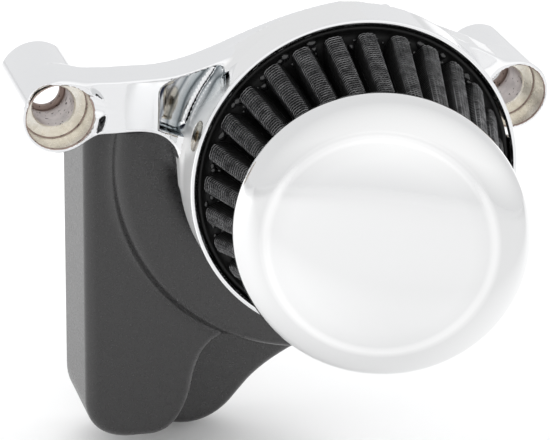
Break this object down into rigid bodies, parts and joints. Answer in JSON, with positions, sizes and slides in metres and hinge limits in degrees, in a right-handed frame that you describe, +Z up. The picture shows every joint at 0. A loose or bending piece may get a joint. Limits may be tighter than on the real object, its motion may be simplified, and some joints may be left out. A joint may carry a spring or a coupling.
{
  "type": "air filter housing",
  "caption": "Open-element engine air cleaner: chrome cup bracket with two bolt bosses, pleated cone filter, domed cap and a black throttle-side cover.",
  "frame": {"origin": "centre of the throttle bore on the mounting plane, where both bosses and the intake spacer end", "axes": "+X from the left boss to the right boss, +Y into the engine along the throttle bore, +Z up"},
  "size_m": [0.228, 0.182, 0.2166],
  "materials": {
    "chrome_casting": "polished chrome plate on a smooth casting, bare metal in the bores",
    "machined_aluminium": "turned",
    "zinc_steel": "plated steel",
    "black_rubber": "smooth moulded rubber",
    "gasket_fibre": "fibre gasket sheet",
    "filter_media": "oiled black cotton under fine black wire mesh",
    "potting": "glossy moulded polyurethane",
    "chrome_cap": "mirror chrome",
    "black_plastic": "satin moulded plastic"
  },
  "bodies": {
    "housing": {"bracket": "chrome_casting", "intake_spacer": "machined_aluminium", "spacer_gasket": "gasket_fibre", "throttle_o_ring": "black_rubber", "throttle_screws": "zinc_steel", "left_boss_seal": "black_rubber", "right_boss_seal": "black_rubber", "retaining_screws": "zinc_steel", "cover_isolators": "black_rubber", "throttle_cover": "black_plastic", "cover_washers": "zinc_steel", "cover_screws": "zinc_steel"},
    "filter": {"base_seal": "black_rubber", "filter_base": "potting", "base_sleeve": "zinc_steel", "pleated_media": "filter_media", "support_screen": "zinc_steel", "top_potting": "potting", "top_plate": "zinc_steel", "cap_washers": "zinc_steel", "cap_screws": "zinc_steel", "end_cap": "chrome_cap"}
  },
  "joints": [
    {"name": "filter_lift", "type": "slide", "parent": "housing", "child": "filter", "axis": [-0.0766, -0.996, 0.0454], "range_m": [0, 0.08]}
  ]
}
